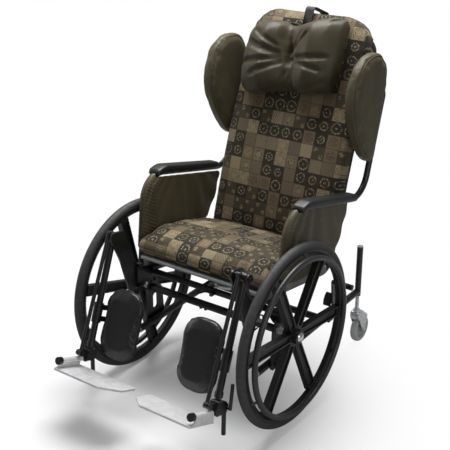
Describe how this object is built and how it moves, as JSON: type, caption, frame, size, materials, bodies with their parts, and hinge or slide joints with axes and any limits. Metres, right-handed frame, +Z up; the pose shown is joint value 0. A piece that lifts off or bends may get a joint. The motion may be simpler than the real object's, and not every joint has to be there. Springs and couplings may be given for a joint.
{
  "type": "tilt-in-space wheelchair",
  "caption": "Tilt-in-space wheelchair with front drive wheels, rear casters, padded seat and back, head pillow, wings and elevating leg rests.",
  "frame": {"origin": "on the floor under the middle of the chair's overall length and width", "axes": "+Z up, -Y the way the chair faces, +X towards the sitter's left"},
  "size_m": [0.727, 1.1308, 1.2145],
  "materials": {
    "frame_paint": "semi-gloss black powder coat",
    "wheel_plastic": "moulded black nylon, satin",
    "wheel_tyre": "dark grey solid tyre",
    "handrim_paint": "black coated handrim",
    "chrome_trim": "bright chrome",
    "zinc": "bright zinc",
    "caster_rubber": "light grey",
    "caster_plastic": "grey nylon",
    "plug_plastic": "grey plugs",
    "print_fabric": "woven squares and rings in brown, tan and taupe",
    "olive_fabric": "olive satin",
    "black_vinyl": "smooth black vinyl with piping",
    "arm_foam": "moulded black arm pad",
    "pan_plastic": "grey moulded pan",
    "board_plastic": "dark board",
    "cast_aluminium": "polished casting",
    "rod_chrome": "ground and chromed",
    "webbing": "black webbing",
    "cable_sheath": "black cable sheath",
    "grip_rubber": "black grip"
  },
  "bodies": {
    "base": {"base_rails": "frame_paint", "tube_plugs": "plug_plastic", "rear_cross_tube": "frame_paint", "axle_plates": "frame_paint", "axle_cross_tube": "frame_paint", "axles": "zinc", "wheel_lock_clamps": "frame_paint"},
    "seat": {"seat_side_tubes": "frame_paint", "arm_tubes": "frame_paint", "seat_front_tube": "frame_paint", "seat_rear_tube": "frame_paint", "back_tube": "frame_paint", "push_bar": "frame_paint", "seat_pan": "pan_plastic", "seat_cushion": "print_fabric", "back_cushion": "print_fabric", "back_board": "board_plastic", "wings": "olive_fabric", "side_panels": "olive_fabric", "arm_pads": "arm_foam", "head_pillow": "olive_fabric", "pillow_strap": "webbing", "tilt_lever_bracket": "frame_paint", "tilt_cable": "cable_sheath", "legrest_hangers": "frame_paint", "knee_ratchets": "frame_paint"},
    "gas_spring_cylinder": {"gas_cylinder": "frame_paint"},
    "gas_spring_rod": {"gas_rod": "rod_chrome"},
    "tilt_lever": {"tilt_lever": "frame_paint"},
    "wheel_left": {"tyre_left": "wheel_tyre", "mag_wheel_left": "wheel_plastic", "handrim_left": "handrim_paint", "hub_cap_left": "chrome_trim"},
    "caster_swivel_left": {"caster_fork_left": "zinc"},
    "caster_left": {"caster_wheel_left": "caster_plastic", "caster_tyre_left": "caster_rubber"},
    "wheel_lock_left": {"wheel_lock_lever_left": "frame_paint", "wheel_lock_grip_left": "grip_rubber"},
    "leg_left": {"leg_tube_left": "frame_paint"},
    "leg_rod_left": {"control_rod_left": "frame_paint"},
    "leg_extension_left": {"leg_extension_left": "frame_paint"},
    "calf_rest_left": {"calf_bracket_left": "frame_paint", "calf_pad_left": "black_vinyl"},
    "footrest_left": {"footplate_left": "cast_aluminium"},
    "wheel_right": {"tyre_right": "wheel_tyre", "mag_wheel_right": "wheel_plastic", "handrim_right": "handrim_paint", "hub_cap_right": "chrome_trim"},
    "caster_swivel_right": {"caster_fork_right": "zinc"},
    "caster_right": {"caster_wheel_right": "caster_plastic", "caster_tyre_right": "caster_rubber"},
    "wheel_lock_right": {"wheel_lock_lever_right": "frame_paint", "wheel_lock_grip_right": "grip_rubber"},
    "leg_right": {"leg_tube_right": "frame_paint"},
    "leg_rod_right": {"control_rod_right": "frame_paint"},
    "leg_extension_right": {"leg_extension_right": "frame_paint"},
    "calf_rest_right": {"calf_bracket_right": "frame_paint", "calf_pad_right": "black_vinyl"},
    "footrest_right": {"footplate_right": "cast_aluminium"}
  },
  "joints": [
    {"name": "tilt", "type": "hinge", "parent": "base", "child": "seat", "pos_m": [0, -0.1, 0.336], "axis": [-1, 0, 0], "range_deg": [-7, 13]},
    {"name": "gas_spring_swing", "type": "hinge", "parent": "base", "child": "gas_spring_cylinder", "pos_m": [0, 0.2, 0.232], "axis": [1, 0, 0], "range_deg": [-1.3, 0.8]},
    {"name": "gas_spring_stroke", "type": "slide", "parent": "gas_spring_cylinder", "child": "gas_spring_rod", "axis": [0, -0.8973, 0.4414], "range_m": [-0.0096, 0.0053]},
    {"name": "wheel_spin_left", "type": "hinge", "parent": "base", "child": "wheel_left", "pos_m": [0.3266, -0.105, 0.305], "axis": [1, 0, 0], "continuous": true},
    {"name": "caster_swivel_left", "type": "hinge", "parent": "base", "child": "caster_swivel_left", "pos_m": [0.245, 0.455, 0.2], "axis": [0, 0, 1], "continuous": true},
    {"name": "caster_spin_left", "type": "hinge", "parent": "caster_swivel_left", "child": "caster_left", "pos_m": [0.245, 0.483, 0.052], "axis": [1, 0, 0], "continuous": true},
    {"name": "wheel_lock_left", "type": "hinge", "parent": "base", "child": "wheel_lock_left", "pos_m": [0.269, 0.24, 0.22742], "axis": [1, 0, 0], "range_deg": [0, 8.5]},
    {"name": "leg_elevate_left", "type": "hinge", "parent": "seat", "child": "leg_left", "pos_m": [0.26, -0.286, 0.556], "axis": [-1, 0, 0], "range_deg": [0, 60]},
    {"name": "leg_rod_left", "type": "hinge", "parent": "seat", "child": "leg_rod_left", "pos_m": [0.256, -0.30936, 0.57338], "axis": [-1, 0, 0], "range_deg": [0, 61.5]},
    {"name": "leg_extend_left", "type": "slide", "parent": "leg_left", "child": "leg_extension_left", "axis": [0, -0.3535, -0.9354], "range_m": [0, 0.0292]},
    {"name": "calf_rest_swing_left", "type": "hinge", "parent": "leg_left", "child": "calf_rest_left", "pos_m": [0.26, -0.37578, 0.3184], "axis": [0, -0.3535, -0.9354], "range_deg": [0, 45]},
    {"name": "footrest_flip_left", "type": "hinge", "parent": "leg_extension_left", "child": "footrest_left", "pos_m": [0.266, -0.49641, 0.19721], "axis": [0, 0.9354, -0.3535], "range_deg": [0, 90]},
    {"name": "wheel_spin_right", "type": "hinge", "parent": "base", "child": "wheel_right", "pos_m": [-0.3266, -0.105, 0.305], "axis": [1, 0, 0], "continuous": true},
    {"name": "caster_swivel_right", "type": "hinge", "parent": "base", "child": "caster_swivel_right", "pos_m": [-0.245, 0.455, 0.2], "axis": [0, 0, 1], "continuous": true},
    {"name": "caster_spin_right", "type": "hinge", "parent": "caster_swivel_right", "child": "caster_right", "pos_m": [-0.245, 0.483, 0.052], "axis": [1, 0, 0], "continuous": true},
    {"name": "wheel_lock_right", "type": "hinge", "parent": "base", "child": "wheel_lock_right", "pos_m": [-0.269, 0.24, 0.22742], "axis": [1, 0, 0], "range_deg": [0, 8.5]},
    {"name": "leg_elevate_right", "type": "hinge", "parent": "seat", "child": "leg_right", "pos_m": [-0.26, -0.286, 0.556], "axis": [-1, 0, 0], "range_deg": [0, 60]},
    {"name": "leg_rod_right", "type": "hinge", "parent": "seat", "child": "leg_rod_right", "pos_m": [-0.256, -0.30936, 0.57338], "axis": [-1, 0, 0], "range_deg": [0, 61.5]},
    {"name": "leg_extend_right", "type": "slide", "parent": "leg_right", "child": "leg_extension_right", "axis": [0, -0.3535, -0.9354], "range_m": [0, 0.0292]},
    {"name": "calf_rest_swing_right", "type": "hinge", "parent": "leg_right", "child": "calf_rest_right", "pos_m": [-0.26, -0.37578, 0.3184], "axis": [0, 0.3535, 0.9354], "range_deg": [0, 45]},
    {"name": "footrest_flip_right", "type": "hinge", "parent": "leg_extension_right", "child": "footrest_right", "pos_m": [-0.266, -0.49641, 0.19721], "axis": [0, -0.9354, 0.3535], "range_deg": [0, 90]},
    {"name": "tilt_lever_squeeze", "type": "hinge", "parent": "seat", "child": "tilt_lever", "pos_m": [0.178, 0.50862, 0.934], "axis": [0, 1, 0], "range_deg": [0, 8], "stiffness_Nm_per_rad": 1.2, "springref_deg": -14.32}
  ],
  "couplings": [
    {"joint": "gas_spring_swing", "follows": "tilt", "ratio": -0.0851},
    {"joint": "gas_spring_stroke", "follows": "tilt", "m_per_rad": -0.0403},
    {"joint": "leg_rod_left", "follows": "leg_elevate_left", "ratio": 1.0108},
    {"joint": "leg_extend_left", "follows": "leg_elevate_left", "m_per_rad": 0.02738},
    {"joint": "leg_rod_right", "follows": "leg_elevate_right", "ratio": 1.0108},
    {"joint": "leg_extend_right", "follows": "leg_elevate_right", "m_per_rad": 0.02738}
  ]
}
